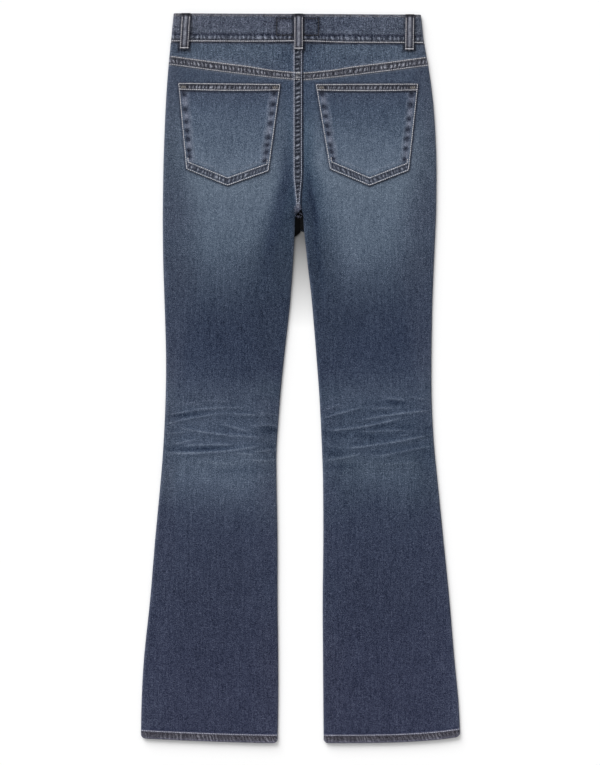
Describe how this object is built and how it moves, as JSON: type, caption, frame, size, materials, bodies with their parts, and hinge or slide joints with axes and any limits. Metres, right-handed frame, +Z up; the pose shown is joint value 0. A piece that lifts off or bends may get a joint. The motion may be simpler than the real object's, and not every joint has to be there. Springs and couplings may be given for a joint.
{
  "type": "bootcut jeans",
  "caption": "Slim bootcut denim jeans laid flat on their front, with shaped back yokes, pointed patch pockets, belt loops and flared hems.",
  "frame": {"origin": "under the middle of the garment's box, on the surface it lies on", "axes": "+X across the garment with the wearer's left side at -X, +Y from the hems to the waist, +Z up out of the back of the garment"},
  "size_m": [0.4795, 1.095, 0.0105],
  "materials": {
    "denim": "washed indigo twill",
    "worn_denim": "washed indigo twill, worn paler at its edges",
    "button_metal": "aged, satin",
    "zip_tape": "woven tape"
  },
  "bodies": {
    "root": {"back_left": "denim", "back_right": "denim", "yoke_left": "denim", "yoke_right": "denim", "front_left": "denim", "front_right": "denim", "waistband": "denim", "back_pocket_left": "worn_denim", "back_pocket_right": "worn_denim", "pocket_facing_left": "denim", "pocket_facing_right": "denim", "loop_front_left": "worn_denim", "loop_front_right": "worn_denim", "loop_back_left": "worn_denim", "loop_back_centre": "worn_denim", "loop_back_right": "worn_denim", "button": "button_metal", "zip": "zip_tape"}
  },
  "joints": []
}
